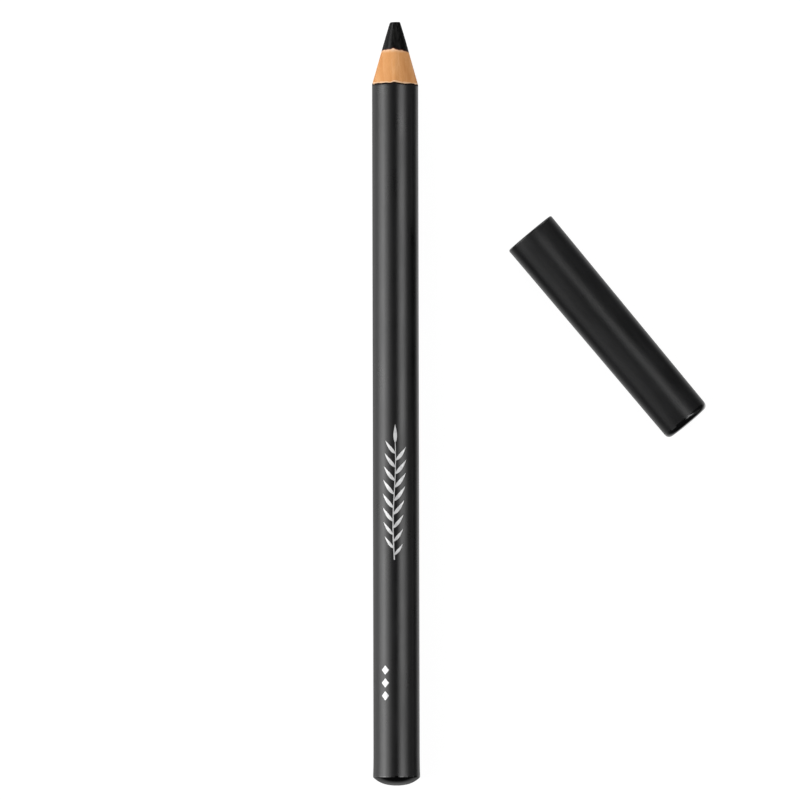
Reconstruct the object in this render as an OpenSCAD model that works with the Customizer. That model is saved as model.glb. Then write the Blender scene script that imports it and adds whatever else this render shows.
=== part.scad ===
// Eyeliner pencil: a round lacquered wooden pencil, sharpened, with its cap off beside it.
// Z is up. The pencil lies along Y with its point towards +Y, and both pieces rest on Z = 0.
// The origin is the middle of the space that the two take up, at the surface they lie on.

/* [Barrel] */
// Length of the sharpened pencil, from its domed end to its blunt tip
pencil_len = 126.5; // [95:0.5:180]
// Diameter over the lacquer
barrel_d = 7.65; // [7:0.05:12]
// Thickness of the lacquer on the wood
lacquer_t = 0.09; // [0.06:0.01:0.3]
// Diameter of the cosmetic core
core_d = 4.4; // [2.5:0.1:5]
// Glue line round the core and between the two wood halves
glue_line = 0.02; // [0.01:0.01:0.06]

/* [Point] */
// Half angle of the sharpened cone, in degrees
cone_half_angle = 16.3; // [13:0.1:22]
// Diameter at which the cone would meet the flat of the blunt tip
tip_d = 1.65; // [0.8:0.01:2.2]
// Rounding of the tip's edge
tip_round = 0.3; // [0.05:0.01:0.4]

/* [Blunt end] */
// How far the dome stands out past its rim
dome_h = 1.5; // [0.8:0.1:2.5]
// How many times the radius of a plain ball's end the dome's flat crown has
dome_flatness = 1.4; // [1.1:0.05:1.8]
// Radius of the dome's shoulder, between its crown and its rim
shoulder_r = 3.64; // [2.6:0.02:4]
// Thickness of the glossy dip over the dome
dip_t = 0.1; // [0.1:0.05:0.4]
// How far the lacquer swells at the rim
swell_h = 0.07; // [0.02:0.01:0.12]
// Length of that swelling along the barrel
swell_len = 1; // [0.5:0.1:2]
// Rounding between the dome and the swelling
rim_round = 0.2; // [0.1:0.05:0.4]

/* [Cap] */
// Length of the cap over its crown
cap_len = 41.1; // [36:0.1:60]
// Wall at the cap's mouth
cap_wall = 0.64; // [0.6:0.01:1.2]
// Draft of the cap's outside, in degrees on a side
cap_draft = 0.42; // [0.1:0.02:0.5]
// Rounding of the lip, outside
lip_round = 0.3; // [0.1:0.05:0.35]
// Lead-in chamfer of the mouth, inside
lead_in = 0.25; // [0.1:0.05:0.25]
// Rounding of the closed end's edge
end_round = 0.9; // [0.4:0.1:1.5]
// Height of the low crown on the closed end
crown_h = 0.15; // [0.05:0.05:0.4]
// Wall behind the tip chamber, up to the crown's edge
end_wall = 1.05; // [0.8:0.05:2]
// Clearance between the barrel and the cap's bore, on the radius
cap_clearance = 0.08; // [0.06:0.01:0.15]

/* [Cap grip] */
// Number of grip ribs in the bore
rib_count = 6; // [3:1:8]
// Radius of a rib's rounded crest, seen along the bore
rib_crest_r = 0.35; // [0.25:0.01:0.5]
// How far the ribs press into the barrel
rib_bite = 0.02; // [0.01:0.01:0.04]
// Depth at which the ribs start
rib_start = 15.5; // [15:0.5:19]
// Length of the ramp at the front of each rib
rib_ramp = 1.2; // [0.5:0.1:3]
// Diameter of the chamber round the sharpened tip
chamber_d = 6.4; // [5.4:0.1:6.6]
// Rounding in the corner of the chamber
chamber_round = 0.6; // [0.2:0.1:1.2]
// Room between the seated pencil's tip and the end wall
tip_room = 2.4; // [0.5:0.1:3]

/* [Layout] */
// Where the cap's mouth lies, across from the pencil's axis
cap_aside = 22.23; // [16:0.01:60]
// Where the cap's mouth lies, back from the pencil's tip
cap_back = 35.1; // [20:0.1:40]
// Angle from the pencil to the cap, in degrees
cap_yaw = 39.7; // [10:0.1:80]

/* [Hidden] */
$fn = 96;

// Radii of the pencil
barrel_r = barrel_d / 2;
wood_r = barrel_r - lacquer_t;
core_r = core_d / 2;
groove_r = core_r + glue_line;

// The domed end: a flat crown runs into a rounder shoulder, whose middle lies shoulder_arm from
// the crown's. rim_z is where the rounded rim beside it stands straight up along the barrel.
rim_r = barrel_r + swell_h;
dome_r = dome_flatness * (rim_r ^ 2 + dome_h ^ 2) / (2 * dome_h);
shoulder_arm = dome_r - shoulder_r;
rim_reach = norm([rim_r, dome_r - dome_h]);
dome_angle = atan2(rim_r, dome_r - dome_h)
    - acos((rim_reach ^ 2 + shoulder_arm ^ 2 - shoulder_r ^ 2) / (2 * rim_reach * shoulder_arm));
shoulder_x = shoulder_arm * sin(dome_angle);
shoulder_z = dome_r - shoulder_arm * cos(dome_angle);
rim_out = rim_r - rim_round - shoulder_x;
rim_z = shoulder_z - sqrt((shoulder_r - rim_round) ^ 2 - rim_out ^ 2);
dome_edge_r = shoulder_x + rim_out * shoulder_r / (shoulder_r - rim_round);

// The point: the cone runs from the tip's flat out past the lacquer
tip_r = tip_d / 2;
cone_slope = tan(cone_half_angle);
function cone_length(from_r, to_r) = (to_r - from_r) / cone_slope;
cone_reach_r = rim_r + 1;
cone_reach_z = pencil_len - cone_length(tip_r, cone_reach_r);
tip_flat_r = tip_r - tip_round * (1 - sin(cone_half_angle)) / cos(cone_half_angle);
tip_edge_r = tip_flat_r + tip_round * cos(cone_half_angle);
tip_edge_z = pencil_len - tip_round * (1 - sin(cone_half_angle));

// The cap's outside, from the mouth at 0 to the crown at cap_len
bore_r = barrel_r + cap_clearance;
mouth_r = bore_r + cap_wall;
draft_slope = tan(cap_draft);
function side_r(depth) = mouth_r - depth * draft_slope;
end_flat = cap_len - crown_h;
lip_r = side_r(lip_round) - lip_round / cos(cap_draft);
edge_z = end_flat - end_round;
edge_r = side_r(edge_z) - end_round / cos(cap_draft);
crown_r = (edge_r ^ 2 + crown_h ^ 2) / (2 * crown_h);

// The cap's inside: the sharpened cone seats on the edge where the shoulder meets the chamber
chamber_r = chamber_d / 2;
chamber_end = end_flat - end_wall;
seat_z = chamber_end - tip_room - cone_length(tip_r, chamber_r);
bore_end = seat_z - (bore_r - chamber_r);
rib_inner_r = barrel_r - rib_bite;

// Places: the cap lies on its tapered side, so its axis falls by the draft towards the closed end
cap_reach_x = sin(cap_yaw) * cos(cap_draft);
cap_side_x = cap_aside + edge_z * cap_reach_x + edge_r * sqrt(1 - cap_reach_x ^ 2) + end_round;
pencil_x = -(cap_side_x - rim_r) / 2;
pencil_y = -pencil_len / 2;
cap_x = pencil_x + cap_aside;
cap_y = pencil_y + pencil_len - cap_back;
cap_z = mouth_r * cos(cap_draft);

lacquer_black = [0.14, 0.14, 0.145];
gloss_black = [0.05, 0.05, 0.055];
core_black = [0.09, 0.085, 0.08];
cedar = [0.86, 0.64, 0.43];
cap_black = [0.12, 0.12, 0.125];

// Outlines are drawn with the radius across and the distance from the domed end up

// Everything that the sharpener leaves: a cone with a blunt, softly edged tip
module sharpened_outline() {
    polygon([[0, -1], [cone_reach_r, -1], [cone_reach_r, cone_reach_z],
             [tip_edge_r, tip_edge_z], [0, tip_edge_z]]);
    translate([tip_flat_r, pencil_len - tip_round]) circle(tip_round);
    square([tip_flat_r, pencil_len]);
}

// The dome sunk by an inset, and everything behind it: crown, shoulder and the pencil's body
module dome_outline(inset) {
    past_r = dome_r + 1;
    intersection() {
        translate([0, dome_r]) circle(dome_r - inset);
        polygon([[0, dome_r], [0, dome_r - past_r],
                 [past_r * sin(dome_angle), dome_r - past_r * cos(dome_angle)]]);
    }
    translate([shoulder_x, shoulder_z]) circle(shoulder_r - inset);
    translate([0, shoulder_z]) square([cone_reach_r, pencil_len]);
}

// The finished outside of the barrel before sharpening: dome, rounded rim, swelling, cylinder
module barrel_outline() {
    intersection() {
        dome_outline(0);
        square([dome_edge_r, shoulder_z]);
    }
    translate([rim_r - rim_round, rim_z]) circle(rim_round);
    polygon([[0, rim_z], [rim_r, rim_z], [barrel_r, rim_z + swell_len], [0, rim_z + swell_len]]);
    translate([0, rim_z]) square([barrel_r, pencil_len - rim_z]);
}

// What the dip leaves bare: everything its own thickness inside the dome, and all past the rim
module undipped_outline() {
    dome_outline(dip_t);
    translate([0, rim_z]) square([cone_reach_r, pencil_len]);
}

// A ring of the pencil between two radii, ended by the dip and by the sharpened cone
module layer_outline(inner_r, outer_r) {
    intersection() {
        sharpened_outline();
        undipped_outline();
        translate([inner_r, 0]) square([outer_r - inner_r, pencil_len]);
    }
}

// Lays a piece that was drawn upright down along +Y, at the pencil's place
module lay_pencil() {
    translate([pencil_x, pencil_y, rim_r]) rotate([-90, 0, 0]) children();
}

// One of the two grooved slats that are glued round the core; side 1 is above, -1 below
module wood_half(side) {
    color(cedar) lay_pencil()
        difference() {
            rotate_extrude(angle = 180, start = side > 0 ? 180 : 0) layer_outline(groove_r, wood_r);
            translate([-barrel_d, -glue_line / 2, -1])
                cube([2 * barrel_d, glue_line, pencil_len + 2]);
        }
}

module upper_wood_half() { wood_half(1); }

module lower_wood_half() { wood_half(-1); }

module liner_core() {
    color(core_black) lay_pencil() rotate_extrude() layer_outline(0, core_r);
}

module barrel_lacquer() {
    color(lacquer_black) lay_pencil() rotate_extrude()
        intersection() {
            barrel_outline();
            layer_outline(wood_r, rim_r);
        }
}

module dipped_end() {
    color(gloss_black) lay_pencil() rotate_extrude()
        difference() {
            barrel_outline();
            undipped_outline();
        }
}

// The cap's outside: rounded lip, drafted wall, rounded edge and a low crown
module cap_outline() {
    side_cos = cos(cap_draft);
    side_sin = sin(cap_draft);
    polygon([[0, 0], [lip_r, 0],
             [lip_r + lip_round * side_cos, lip_round * (1 + side_sin)],
             [edge_r + end_round * side_cos, edge_z + end_round * side_sin],
             [edge_r, end_flat], [0, end_flat]]);
    translate([lip_r, lip_round]) circle(lip_round);
    translate([edge_r, edge_z]) circle(end_round);
    intersection() {
        translate([0, cap_len - crown_r]) circle(crown_r, $fn = 720);
        translate([0, edge_z]) square([edge_r, end_round + crown_h]);
    }
}

// The cap's inside without its ribs: lead-in, bore, shoulder and tip chamber
module cap_cavity_outline() {
    polygon([[0, -1], [bore_r + lead_in + 1, -1], [bore_r, lead_in], [bore_r, bore_end],
             [chamber_r, seat_z], [chamber_r, chamber_end - chamber_round],
             [chamber_r - chamber_round, chamber_end], [0, chamber_end]]);
    translate([chamber_r - chamber_round, chamber_end - chamber_round]) circle(chamber_round);
}

// A grip rib: a rounded ridge along the bore with a ramp at its front
module grip_rib() {
    difference() {
        translate([rib_inner_r + rib_crest_r, 0, rib_start])
            cylinder(r = rib_crest_r, h = seat_z - rib_start);
        translate([0, 0, rib_start]) cylinder(r1 = bore_r, r2 = rib_inner_r, h = rib_ramp);
    }
}

module cap() {
    color(cap_black)
        translate([cap_x, cap_y, cap_z]) rotate([90 + cap_draft, 0, cap_yaw])
            difference() {
                rotate_extrude() cap_outline();
                difference() {
                    rotate_extrude() cap_cavity_outline();
                    for (i = [0 : rib_count - 1]) rotate(i * 360 / rib_count) grip_rib();
                }
            }
}

upper_wood_half();
lower_wood_half();
liner_core();
barrel_lacquer();
dipped_end();
cap();
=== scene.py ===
"""A sharpened eyeliner pencil with its cap off: its finished surfaces, a studio and the camera.

Lengths are in metres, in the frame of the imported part. The pencil lies along +Y with its point
forward, the cap lies beside it towards +X, and both rest on Z = 0.
"""

import logging
import math
from collections.abc import Callable, Sequence
from dataclasses import astuple, dataclass, field, replace
from enum import Enum
from typing import Any

import bmesh
import bpy
from mathutils import Matrix, Vector, noise


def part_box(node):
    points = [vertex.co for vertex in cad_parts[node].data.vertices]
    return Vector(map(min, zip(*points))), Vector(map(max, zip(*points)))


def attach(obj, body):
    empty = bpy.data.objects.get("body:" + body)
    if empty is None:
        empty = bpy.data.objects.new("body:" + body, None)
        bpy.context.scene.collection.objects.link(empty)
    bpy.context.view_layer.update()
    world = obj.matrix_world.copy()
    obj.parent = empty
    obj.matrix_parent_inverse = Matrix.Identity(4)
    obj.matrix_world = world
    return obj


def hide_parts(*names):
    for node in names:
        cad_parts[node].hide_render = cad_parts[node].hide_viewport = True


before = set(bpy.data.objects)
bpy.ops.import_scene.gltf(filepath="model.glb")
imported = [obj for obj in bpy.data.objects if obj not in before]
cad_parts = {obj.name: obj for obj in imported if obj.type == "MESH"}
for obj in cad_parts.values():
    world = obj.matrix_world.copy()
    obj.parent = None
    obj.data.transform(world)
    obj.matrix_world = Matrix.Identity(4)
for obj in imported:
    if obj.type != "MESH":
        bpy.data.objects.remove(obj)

LOG = logging.getLogger("eyeliner_pencil")
MM = 0.001
BODY = "root"
Socket = bpy.types.NodeSocket
Colour = tuple[float, float, float]
Waves = tuple[tuple[float, int, float], ...]


class Slot(Enum):
    """The record's material slots."""

    WOOD = "wood_casing"
    CORE = "waxy_core"
    LACQUER = "satin_lacquer"
    DIP = "gloss_dip"
    CAP = "cap_plastic"


class Side(Enum):
    """Which of the two glued slats of the casing a piece is."""

    UPPER = 1
    LOWER = -1


# Frames of reference and outlines


@dataclass(frozen=True)
class Axis:
    """The middle line of a round piece, with the direction that counts as up round it."""

    origin: Vector
    along: Vector
    up: Vector

    @property
    def side(self) -> Vector:
        """The direction a quarter turn on from up."""
        return self.along.cross(self.up).normalized()

    @property
    def turn(self) -> Matrix:
        """The turn that takes X to up, Y to the side and Z along the axis."""
        return Matrix((self.up, self.side, self.along)).transposed()

    @property
    def placing(self) -> dict[str, tuple[float, ...]]:
        """The axis as values for a tree's inputs Place and Turn."""
        return {"Place": tuple(self.origin), "Turn": tuple(self.turn.to_euler())}

    def point(self, along: float, radius: float, angle: float) -> Vector:
        """A point on or round the axis.

        Args:
            along: Distance from the origin along the axis.
            radius: Distance from the axis.
            angle: Angle from up, towards the side, in radians.

        Returns:
            The point in the part's frame.
        """
        out = self.up * math.cos(angle) + self.side * math.sin(angle)
        return self.origin + self.along * along + out * radius


@dataclass(frozen=True)
class Station:
    """One corner of a turned outline, and how much of each wave it follows.

    A station on the sharpened cone slides along the cone as the wave moves it, so slide is the
    share of the cone's slope that it follows, and cut is its share of the askew cut of the coats.
    """

    along: float
    radius: float
    core: float = 0.0
    coat: float = 0.0
    edge: float = 0.0
    relief: float = 0.0
    slide: float = 0.0
    cut: float = 0.0


def straight(start: Station, end: Station, pieces: int) -> list[Station]:
    """Stations spaced evenly from one to another, the last one left out.

    Args:
        start: The first station.
        end: The station that the line runs to.
        pieces: How many pieces the line is cut into.

    Returns:
        The stations from start up to, and not with, end.
    """
    rows = []
    for step in range(pieces):
        share = step / pieces
        rows.append(Station(*(a + (b - a) * share for a, b in zip(astuple(start), astuple(end)))))
    return rows


def rounded(along: float, radius: float, bend: float, start: float, end: float,
            pieces: int) -> list[Station]:
    """Stations on an arc, both ends included.

    Args:
        along: The arc's centre along the axis.
        radius: The arc's centre away from the axis.
        bend: The arc's own radius.
        start: Its first angle in degrees, from the axis direction outwards.
        end: Its last angle in degrees.
        pieces: How many pieces the arc is cut into.

    Returns:
        The stations in order.
    """
    rows = []
    for step in range(pieces + 1):
        angle = math.radians(start + (end - start) * step / pieces)
        rows.append(Station(along + bend * math.cos(angle),
                            max(0.0, radius + bend * math.sin(angle))))
    return rows


def sampled(radius_at: Callable[[float], float], start: float, end: float,
            pieces: int) -> list[Station]:
    """Stations spaced evenly along the axis, both ends included, each with its own radius."""
    places = [start + (end - start) * step / pieces for step in range(pieces + 1)]
    return [Station(along, radius_at(along)) for along in places]


def waved(terms: Waves, angle: float) -> float:
    """The sum at an angle of waves that each have a height, a count round the axis and a shift."""
    return sum(height * math.sin(count * angle + shift) for height, count, shift in terms)


# Pieces


def add_object(name: str, data: bpy.types.ID) -> bpy.types.Object:
    """Puts a mesh, lamp or camera in the scene as an object at the origin and returns it."""
    piece = bpy.data.objects.new(name, data)
    bpy.context.scene.collection.objects.link(piece)
    return piece


def soften(mesh: bpy.types.Mesh, crease: float = 10.0) -> None:
    """Turns faces outwards, shades them smooth and keeps corners sharper than crease degrees."""
    work = bmesh.new()
    work.from_mesh(mesh)
    bmesh.ops.recalc_face_normals(work, faces=work.faces)
    work.to_mesh(mesh)
    work.free()
    mesh.polygons.foreach_set("use_smooth", [True] * len(mesh.polygons))
    mesh.set_sharp_from_angle(angle=math.radians(crease))


def turned(name: str, outline: Sequence[Station], axis: Axis, steps: int,
           move: Callable[[Station, float], tuple[float, float]] | None = None,
           start: float = 0.0, sweep: float = math.tau) -> bpy.types.Object:
    """Turns an outline round an axis into a closed mesh.

    An outline whose ends are on the axis gets a pole at each end, and any other is taken as a
    closed loop. A sweep short of a full turn gets a flat face at each end.

    Args:
        name: The new object's name.
        outline: The stations in order.
        axis: The line that the outline turns round.
        steps: How many steps the sweep is cut into.
        move: Gives the shift along and out of a station at an angle, or None for none.
        start: The first angle in radians.
        sweep: The angle that the outline turns through.

    Returns:
        The new object.
    """
    full = sweep > math.tau - 1e-6
    poles = outline[0].radius < 1e-9 and outline[-1].radius < 1e-9
    body = list(outline[1:-1]) if poles else list(outline)
    rings = steps if full else steps + 1
    points: list[Vector] = []
    for ring in range(rings):
        angle = start + sweep * ring / steps
        for station in body:
            back, out = move(station, angle) if move else (0.0, 0.0)
            points.append(axis.point(station.along + back, station.radius + out, angle))
    faces: list[tuple[int, ...]] = []
    count = len(body)
    spans = count - 1 if poles else count
    for ring in range(steps):
        here, there = ring * count, (ring + 1) % rings * count
        for step in range(spans):
            after = (step + 1) % count
            faces.append((here + step, here + after, there + after, there + step))
    if poles:
        for station, corner in ((outline[0], 0), (outline[-1], count - 1)):
            points.append(axis.point(station.along, 0.0, 0.0))
            tip = len(points) - 1
            for ring in range(steps):
                faces.append((tip, ring * count + corner, (ring + 1) % rings * count + corner))
    if not full:
        faces.append(tuple(range(count)))
        faces.append(tuple(steps * count + step for step in range(count)))
    mesh = bpy.data.meshes.new(name)
    mesh.from_pydata(points, [], faces)
    soften(mesh)
    return add_object(name, mesh)


def dress(piece: bpy.types.Object, finish: "Finish",
          nodes: Sequence[str] = ()) -> bpy.types.Object:
    """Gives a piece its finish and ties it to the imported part.

    Args:
        piece: The finished mesh object.
        finish: The finish of its whole surface.
        nodes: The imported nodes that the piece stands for.

    Returns:
        The same piece.
    """
    piece.data.materials.clear()
    piece.data.materials.append(finish.material())
    if nodes:
        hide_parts(*nodes)
    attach(piece, BODY)
    LOG.info("%s: %d faces, %s", piece.name, len(piece.data.polygons), finish.name)
    return piece


# Node trees


@dataclass(frozen=True)
class Number:
    """A node's output, on which plain arithmetic adds Math nodes."""

    sheet: "Sheet"
    socket: Socket

    def __add__(self, other: Any) -> "Number":
        """This plus other."""
        return self.sheet.maths("ADD", self, other)

    def __radd__(self, other: float) -> "Number":
        """Other plus this."""
        return self.sheet.maths("ADD", other, self)

    def __sub__(self, other: Any) -> "Number":
        """This less other."""
        return self.sheet.maths("SUBTRACT", self, other)

    def __rsub__(self, other: float) -> "Number":
        """Other less this."""
        return self.sheet.maths("SUBTRACT", other, self)

    def __mul__(self, other: Any) -> "Number":
        """This times other."""
        return self.sheet.maths("MULTIPLY", self, other)

    def __rmul__(self, other: float) -> "Number":
        """Other times this."""
        return self.sheet.maths("MULTIPLY", other, self)

    def __truediv__(self, other: Any) -> "Number":
        """This divided by other."""
        return self.sheet.maths("DIVIDE", self, other)


class Sheet:
    """A node tree under construction: adds nodes, and joins a socket or sets a plain value."""

    def __init__(self, tree: bpy.types.NodeTree) -> None:
        """Starts with an empty tree."""
        self.tree = tree
        tree.nodes.clear()

    def wire(self, value: Any, socket: Socket) -> None:
        """Joins value to socket if it is an output, and sets it as the socket's own otherwise."""
        if isinstance(value, Number):
            value = value.socket
        if isinstance(value, Socket):
            self.tree.links.new(value, socket)
        elif socket.type == "VECTOR" and isinstance(value, float):
            socket.default_value = (value, value, value)
        else:
            socket.default_value = value

    def add(self, kind: str, inputs: dict[Any, Any] | None = None,
            **settings: Any) -> bpy.types.Node:
        """Adds a node.

        Args:
            kind: The node's type.
            inputs: Values or sockets for its inputs, by name or place.
            **settings: The node's own properties.

        Returns:
            The node.
        """
        node = self.tree.nodes.new(kind)
        for name, value in settings.items():
            setattr(node, name, value)
        for key, value in (inputs or {}).items():
            self.wire(value, node.inputs[key])
        return node

    def out(self, kind: str, inputs: dict[Any, Any] | None = None, key: int | str = 0,
            **settings: Any) -> Number:
        """Adds a node as add does, and returns one of its outputs, by name or place."""
        return Number(self, self.add(kind, inputs, **settings).outputs[key])

    def maths(self, operation: str, a: Any, b: Any = 0.0) -> Number:
        """The result of one Math node."""
        return self.out("ShaderNodeMath", {0: a, 1: b}, operation=operation)

    def vector(self, x: Any, y: Any, z: Any) -> Number:
        """A vector from three values or sockets."""
        return self.out("ShaderNodeCombineXYZ", {0: x, 1: y, 2: z})

    def parts(self, vector: Any) -> list[Number]:
        """The three parts of a vector."""
        node = self.add("ShaderNodeSeparateXYZ", {0: vector})
        return [Number(self, socket) for socket in node.outputs]


class Surface(Sheet):
    """A surface material under construction, with its patterns in Object coordinates."""

    def __init__(self, name: str) -> None:
        """Starts a material with one Principled shader."""
        self.made = bpy.data.materials.new(name)
        self.made.use_nodes = True
        super().__init__(self.made.node_tree)
        self.shader = self.add("ShaderNodeBsdfPrincipled")
        out = self.add("ShaderNodeOutputMaterial")
        self.tree.links.new(self.shader.outputs[0], out.inputs[0])
        self.object = self.out("ShaderNodeTexCoord", key="Object")

    def set(self, **values: Any) -> None:
        """Sets or joins inputs of the shader, with underscores for the spaces in their names."""
        for name, value in values.items():
            self.wire(value, self.shader.inputs[name.replace("_", " ")])

    def placed(self, origin: Sequence[float] = (0, 0, 0), turn: Sequence[float] = (0, 0, 0),
               scale: Sequence[float] = (1, 1, 1)) -> Number:
        """Coordinates from a new origin, turned and then stretched.

        Args:
            origin: The point that becomes the origin.
            turn: The turn of the new axes, as Euler angles.
            scale: How much each axis is multiplied by.

        Returns:
            The coordinates.
        """
        moved = self.out("ShaderNodeMapping",
                         {"Vector": self.object, "Location": tuple(origin),
                          "Rotation": tuple(turn)}, vector_type="TEXTURE")
        return self.out("ShaderNodeMapping", {"Vector": moved, "Scale": tuple(scale)},
                        vector_type="POINT")

    def noise(self, at: Number, scale: float, detail: float = 2.0, rough: float = 0.5,
              twist: float = 0.0) -> Number:
        """The height of a noise pattern, from 0 to 1, with scale in cells per metre."""
        return self.out("ShaderNodeTexNoise",
                        {"Vector": at, "Scale": scale, "Detail": detail, "Roughness": rough,
                         "Distortion": twist})

    def span(self, value: Number, low: float, high: float, to_low: float = 0.0,
             to_high: float = 1.0) -> Number:
        """Value spread from one range to another, held at its ends."""
        return self.out("ShaderNodeMapRange",
                        {"Value": value, "From Min": low, "From Max": high, "To Min": to_low,
                         "To Max": to_high}, clamp=True)

    def blend(self, share: Any, low: Any, high: Any) -> Number:
        """A colour between two colours."""
        node = self.add("ShaderNodeMix", data_type="RGBA")
        colours = [s for s in node.inputs if s.type == "RGBA"]
        self.wire(share, node.inputs[0])
        for socket, value in zip(colours, (low, high)):
            self.wire((*value, 1.0) if isinstance(value, tuple) else value, socket)
        return Number(self, next(s for s in node.outputs if s.type == "RGBA"))

    def ramp(self, value: Number, stops: Sequence[tuple[float, Colour]]) -> Number:
        """A colour read from stops by value."""
        node = self.add("ShaderNodeValToRGB", {0: value})
        while len(node.color_ramp.elements) < len(stops):
            node.color_ramp.elements.new(1.0)
        for element, (place, colour) in zip(node.color_ramp.elements, stops):
            element.position = place
            element.color = (*colour, 1.0)
        return Number(self, node.outputs[0])

    def bump(self, height: Number, depth: float, under: Number | None = None) -> Number:
        """A normal that follows height, where 1 stands depth metres above 0."""
        inputs: dict[Any, Any] = {"Height": height, "Strength": 1.0, "Distance": depth}
        if under is not None:
            inputs["Normal"] = under
        return self.out("ShaderNodeBump", inputs)


class Maker(Sheet):
    """A Geometry Nodes tree under construction, with named inputs for its sizes."""

    def __init__(self, name: str) -> None:
        """Starts a tree with a geometry input and output."""
        tree = bpy.data.node_groups.new(name, "GeometryNodeTree")
        tree.is_modifier = True
        super().__init__(tree)
        tree.interface.new_socket("Geometry", in_out="INPUT", socket_type="NodeSocketGeometry")
        tree.interface.new_socket("Geometry", in_out="OUTPUT", socket_type="NodeSocketGeometry")
        self.source = self.add("NodeGroupInput")
        self.result = self.add("NodeGroupOutput")
        self.values: dict[str, Any] = {}

    def size(self, name: str, value: Any = None, kind: str = "Float") -> Number:
        """Adds a named input, keeps a value for it and returns its output inside the tree."""
        self.tree.interface.new_socket(name, in_out="INPUT", socket_type="NodeSocket" + kind)
        self.values[name] = value
        return Number(self, self.source.outputs[len(self.values)])

    def euler(self, vector: Any) -> Number:
        """A rotation from Euler angles."""
        return self.out("FunctionNodeEulerToRotation", {0: vector})

    def moved(self, geometry: Number, position: Number) -> Number:
        """The geometry with each point put at position."""
        return self.out("GeometryNodeSetPosition", {"Geometry": geometry, "Position": position})

    def joined(self, *parts: Number) -> Number:
        """Several geometries as one."""
        node = self.add("GeometryNodeJoinGeometry")
        for part in parts:
            self.wire(part, node.inputs[0])
        return Number(self, node.outputs[0])

    def spread(self, points: Number, shape: Number, turn: Number, scale: Any = 1.0) -> Number:
        """A shape put on each point, turned and scaled, as real geometry."""
        made = self.out("GeometryNodeInstanceOnPoints",
                        {"Points": points, "Instance": shape, "Rotation": turn, "Scale": scale})
        return self.out("GeometryNodeRealizeInstances", {0: made})

    def place(self) -> list[Number]:
        """The three parts of each point's position."""
        return self.parts(self.out("GeometryNodeInputPosition"))

    def line(self, count: Number, first: Any, pitch: Any) -> Number:
        """Points spaced evenly along Y."""
        return self.out("GeometryNodeMeshLine",
                        {"Count": count, "Start Location": self.vector(0.0, first, 0.0),
                         "Offset": self.vector(0.0, pitch, 0.0)}, mode="OFFSET")

    def end_on_axis(self, geometry: Number) -> None:
        """Ends the tree as end does, moved and turned by inputs named Place and Turn."""
        place, turn = self.size("Place", kind="Vector"), self.size("Turn", kind="Vector")
        self.end(self.out("GeometryNodeTransform", {"Geometry": geometry, "Translation": place,
                                                    "Rotation": self.euler(turn)}))

    def end(self, geometry: Number) -> None:
        """Ends the tree in Realize Instances and Set Material, from an input named Finish."""
        real = self.out("GeometryNodeRealizeInstances", {0: geometry})
        done = self.out("GeometryNodeSetMaterial",
                        {"Geometry": real, "Material": self.size("Finish", kind="Material")})
        self.wire(done, self.result.inputs[0])

    def grow(self, name: str, values: dict[str, Any],
             start: bpy.types.Mesh | None = None, crease: float = 30.0) -> bpy.types.Object:
        """Runs the tree once and keeps the result as a plain mesh.

        Args:
            name: The new object's name.
            values: A value for each named input that was given none before.
            start: The mesh that the tree starts from, if it needs one.
            crease: Corners sharper than this many degrees stay sharp.

        Returns:
            The new object, which has no modifier.
        """
        carrier = add_object(name + "_carrier", start or bpy.data.meshes.new(name + "_start"))
        modifier = carrier.modifiers.new("Maker", "NODES")
        modifier.node_group = self.tree
        for item in self.tree.interface.items_tree:
            if item.item_type == "SOCKET" and item.in_out == "INPUT" and item.name in self.values:
                modifier[item.identifier] = values.get(item.name, self.values[item.name])
        carrier.update_tag()
        graph = bpy.context.evaluated_depsgraph_get()
        graph.update()
        mesh = bpy.data.meshes.new_from_object(carrier.evaluated_get(graph), depsgraph=graph)
        mesh.name = name
        bpy.data.objects.remove(carrier)
        soften(mesh, crease)
        return add_object(name, mesh)


# Finishes


@dataclass(frozen=True)
class Finish:
    """What a surface is coated with or made of."""

    name: str

    def material(self) -> bpy.types.Material:
        """Builds the node material."""
        s = Surface(self.name)
        self.paint(s)
        return s.made

    def paint(self, s: Surface) -> None:
        """Adds the finish's own patterns to a new material."""
        raise NotImplementedError


@dataclass(frozen=True)
class SatinLacquer(Finish):
    """Sprayed black lacquer with a satin sheen and the faint unevenness of the spray."""

    dark: Colour = (0.0022, 0.0022, 0.0024)
    light: Colour = (0.0046, 0.0046, 0.0050)
    sheen: float = 0.30
    sheen_range: float = 0.035
    refraction: float = 1.46

    def paint(self, s: Surface) -> None:
        """Adds the patterns of the lacquer."""
        cloud = s.noise(s.placed(scale=(1, 0.3, 1)), 420, 4.0, 0.55)
        mist = s.noise(s.placed(), 5200, 3.0, 0.6)
        s.set(Base_Color=s.blend(s.span(cloud, 0.35, 0.7), self.dark, self.light),
              IOR=self.refraction)
        both = cloud * 0.7 + mist * 0.3
        s.set(Roughness=s.span(both, 0.36, 0.64, self.sheen - self.sheen_range,
                               self.sheen + self.sheen_range))
        long = s.noise(s.placed(scale=(1, 0.12, 1)), 900, 2.0, 0.5)
        s.set(Normal=s.bump(mist, 0.9e-6, s.bump(long, 4e-6)))


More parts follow.
